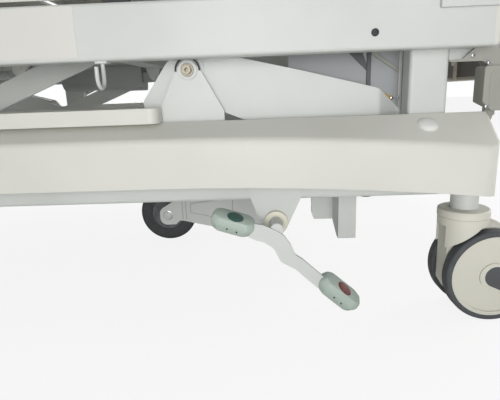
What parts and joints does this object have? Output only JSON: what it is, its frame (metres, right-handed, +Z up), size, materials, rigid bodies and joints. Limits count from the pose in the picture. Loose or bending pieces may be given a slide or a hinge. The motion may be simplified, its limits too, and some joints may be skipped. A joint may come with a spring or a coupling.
{
  "type": "electric hospital bed",
  "caption": "Adjustable electric hospital bed on braked twin-wheel casters, with lift linkage, steering wheel, sectioned deck, swing-down guards and lift-off end boards.",
  "frame": {"origin": "on the floor below the middle of the bed's overall box", "axes": "+X towards the head end, +Y towards the far side, +Z up"},
  "size_m": [2.17, 1.0078, 0.96],
  "materials": {
    "powder_steel": "satin powder coat",
    "zinc_steel": "zinc plated",
    "abs_cream": "moulded, fine grain",
    "grey_plastic": "moulded, fine grain",
    "tyre_rubber": "smooth thermoplastic rubber",
    "soft_rubber": "matt",
    "green_pad": "moulded",
    "red_pad": "moulded",
    "aluminium": "anodised",
    "cable_pvc": "matt sheath"
  },
  "bodies": {
    "base": {"base_frame": "powder_steel", "caster_stems": "zinc_steel", "base_brackets": "powder_steel", "side_cover_near": "abs_cream", "side_cover_far": "abs_cream", "end_cover_head": "abs_cream", "end_cover_foot": "abs_cream", "base_lids": "abs_cream", "lift_brackets": "powder_steel", "lift_pivot_bolts": "zinc_steel", "brake_plates": "powder_steel", "lift_actuator_body": "grey_plastic"},
    "swivel_head_near": {"caster_body_head_near": "grey_plastic"},
    "wheels_head_near": {"caster_discs_head_near": "abs_cream", "caster_tyres_head_near": "tyre_rubber"},
    "swivel_head_far": {"caster_body_head_far": "grey_plastic"},
    "wheels_head_far": {"caster_discs_head_far": "abs_cream", "caster_tyres_head_far": "tyre_rubber"},
    "swivel_foot_near": {"caster_body_foot_near": "grey_plastic"},
    "wheels_foot_near": {"caster_discs_foot_near": "abs_cream", "caster_tyres_foot_near": "tyre_rubber"},
    "swivel_foot_far": {"caster_body_foot_far": "grey_plastic"},
    "wheels_foot_far": {"caster_discs_foot_far": "abs_cream", "caster_tyres_foot_far": "tyre_rubber"},
    "pedals": {"brake_shaft": "zinc_steel", "pedal_levers": "powder_steel", "pedal_pads_green": "green_pad", "pedal_pads_red": "red_pad"},
    "fifth_arm": {"fifth_arm": "powder_steel"},
    "fifth_wheel": {"fifth_rim": "grey_plastic", "fifth_tyre": "tyre_rubber"},
    "lift_arm_head": {"lift_arm_head": "powder_steel"},
    "lift_arm_foot": {"lift_arm_foot": "powder_steel"},
    "lift_rod": {"lift_actuator_rod": "zinc_steel"},
    "lift_frame": {"frame_rails": "powder_steel", "rail_end_caps": "abs_cream", "frame_cross_tubes": "powder_steel", "frame_posts": "powder_steel", "drainage_hooks": "zinc_steel", "end_brackets": "powder_steel", "corner_bumpers": "soft_rubber", "junction_box": "grey_plastic", "box_glands": "grey_plastic", "box_cable": "cable_pvc", "seat_deck": "abs_cream", "deck_rests": "soft_rubber", "guard_bases": "powder_steel", "back_actuator_body": "grey_plastic", "knee_actuator_body": "grey_plastic"},
    "back": {"back_deck": "abs_cream"},
    "thigh": {"thigh_deck": "abs_cream"},
    "calf": {"calf_deck": "abs_cream"},
    "back_rod": {"back_actuator_rod": "zinc_steel"},
    "knee_rod": {"knee_actuator_rod": "zinc_steel"},
    "guard_arms_near": {"guard_arms_near": "powder_steel"},
    "guard_panel_near": {"guard_panel_near": "aluminium"},
    "guard_arms_far": {"guard_arms_far": "powder_steel"},
    "guard_panel_far": {"guard_panel_far": "aluminium"},
    "head_board": {"head_board": "abs_cream"},
    "foot_board": {"foot_board": "abs_cream"}
  },
  "joints": [
    {"name": "swivel_head_near", "type": "hinge", "parent": "base", "child": "swivel_head_near", "pos_m": [0.935, -0.428, 0.17], "axis": [0, 0, 1], "continuous": true},
    {"name": "roll_head_near", "type": "hinge", "parent": "swivel_head_near", "child": "wheels_head_near", "pos_m": [0.973, -0.428, 0.075], "axis": [0, 1, 0], "continuous": true},
    {"name": "swivel_head_far", "type": "hinge", "parent": "base", "child": "swivel_head_far", "pos_m": [0.935, 0.428, 0.17], "axis": [0, 0, 1], "continuous": true},
    {"name": "roll_head_far", "type": "hinge", "parent": "swivel_head_far", "child": "wheels_head_far", "pos_m": [0.973, 0.428, 0.075], "axis": [0, 1, 0], "continuous": true},
    {"name": "swivel_foot_near", "type": "hinge", "parent": "base", "child": "swivel_foot_near", "pos_m": [-0.715, -0.428, 0.17], "axis": [0, 0, 1], "continuous": true},
    {"name": "roll_foot_near", "type": "hinge", "parent": "swivel_foot_near", "child": "wheels_foot_near", "pos_m": [-0.753, -0.428, 0.075], "axis": [0, 1, 0], "continuous": true},
    {"name": "swivel_foot_far", "type": "hinge", "parent": "base", "child": "swivel_foot_far", "pos_m": [-0.715, 0.428, 0.17], "axis": [0, 0, 1], "continuous": true},
    {"name": "roll_foot_far", "type": "hinge", "parent": "swivel_foot_far", "child": "wheels_foot_far", "pos_m": [-0.753, 0.428, 0.075], "axis": [0, 1, 0], "continuous": true},
    {"name": "pedal_turn", "type": "hinge", "parent": "base", "child": "pedals", "pos_m": [0.631, 0, 0.1675], "axis": [0, -1, 0], "range_deg": [0, 25]},
    {"name": "fifth_raise", "type": "hinge", "parent": "base", "child": "fifth_arm", "pos_m": [0.69, 0, 0.165], "axis": [0, 1, 0], "range_deg": [0, 4]},
    {"name": "fifth_roll", "type": "hinge", "parent": "fifth_arm", "child": "fifth_wheel", "pos_m": [0.362, 0, 0.075], "axis": [0, 1, 0], "continuous": true},
    {"name": "lift", "type": "hinge", "parent": "base", "child": "lift_arm_head", "pos_m": [0.498, 0, 0.41], "axis": [0, -1, 0], "range_deg": [0, 68]},
    {"name": "lift_level", "type": "hinge", "parent": "lift_arm_head", "child": "lift_frame", "pos_m": [0.874, 0, 0.29], "axis": [0, -1, 0], "range_deg": [-68, 0]},
    {"name": "lift_follow", "type": "hinge", "parent": "base", "child": "lift_arm_foot", "pos_m": [-0.391, 0, 0.41], "axis": [0, -1, 0], "range_deg": [0, 68]},
    {"name": "lift_rod_slide", "type": "slide", "parent": "base", "child": "lift_rod", "axis": [1, 0, 0], "range_m": [0, 0.1232]},
    {"name": "back_raise", "type": "hinge", "parent": "lift_frame", "child": "back", "pos_m": [0.15, 0, 0.531], "axis": [0, -1, 0], "range_deg": [0, 70]},
    {"name": "back_rod_slide", "type": "slide", "parent": "lift_frame", "child": "back_rod", "axis": [1, 0, 0], "range_m": [0, 0.1264]},
    {"name": "thigh_raise", "type": "hinge", "parent": "lift_frame", "child": "thigh", "pos_m": [-0.09, 0, 0.531], "axis": [0, 1, 0], "range_deg": [0, 35]},
    {"name": "calf_fold", "type": "hinge", "parent": "thigh", "child": "calf", "pos_m": [-0.44, 0, 0.531], "axis": [0, 1, 0], "range_deg": [-56, 0]},
    {"name": "knee_rod_slide", "type": "slide", "parent": "lift_frame", "child": "knee_rod", "axis": [-1, 0, 0], "range_m": [0, 0.0664]},
    {"name": "guard_swing_near", "type": "hinge", "parent": "lift_frame", "child": "guard_arms_near", "pos_m": [0, -0.474, 0.522], "axis": [1, 0, 0], "range_deg": [0, 180]},
    {"name": "guard_level_near", "type": "hinge", "parent": "guard_arms_near", "child": "guard_panel_near", "pos_m": [0, -0.474, 0.672], "axis": [1, 0, 0], "range_deg": [-180, 0]},
    {"name": "guard_swing_far", "type": "hinge", "parent": "lift_frame", "child": "guard_arms_far", "pos_m": [0, 0.474, 0.522], "axis": [-1, 0, 0], "range_deg": [0, 180]},
    {"name": "guard_level_far", "type": "hinge", "parent": "guard_arms_far", "child": "guard_panel_far", "pos_m": [0, 0.474, 0.672], "axis": [-1, 0, 0], "range_deg": [-180, 0]},
    {"name": "head_board_lift", "type": "slide", "parent": "lift_frame", "child": "head_board", "axis": [0, 0, 1], "range_m": [0, 0.055]},
    {"name": "foot_board_lift", "type": "slide", "parent": "lift_frame", "child": "foot_board", "axis": [0, 0, 1], "range_m": [0, 0.055]}
  ],
  "couplings": [
    {"joint": "guard_level_near", "follows": "guard_swing_near", "ratio": -1},
    {"joint": "guard_level_far", "follows": "guard_swing_far", "ratio": -1},
    {"joint": "fifth_raise", "follows": "pedal_turn", "ratio": 0.16},
    {"joint": "lift_level", "follows": "lift", "ratio": -1},
    {"joint": "lift_follow", "follows": "lift", "ratio": 1},
    {"joint": "lift_rod_slide", "follows": "lift", "m_per_rad": 0.10366},
    {"joint": "back_rod_slide", "follows": "back_raise", "m_per_rad": 0.10329},
    {"joint": "knee_rod_slide", "follows": "thigh_raise", "m_per_rad": 0.1083},
    {"joint": "calf_fold", "follows": "thigh_raise", "ratio": -1.6}
  ]
}
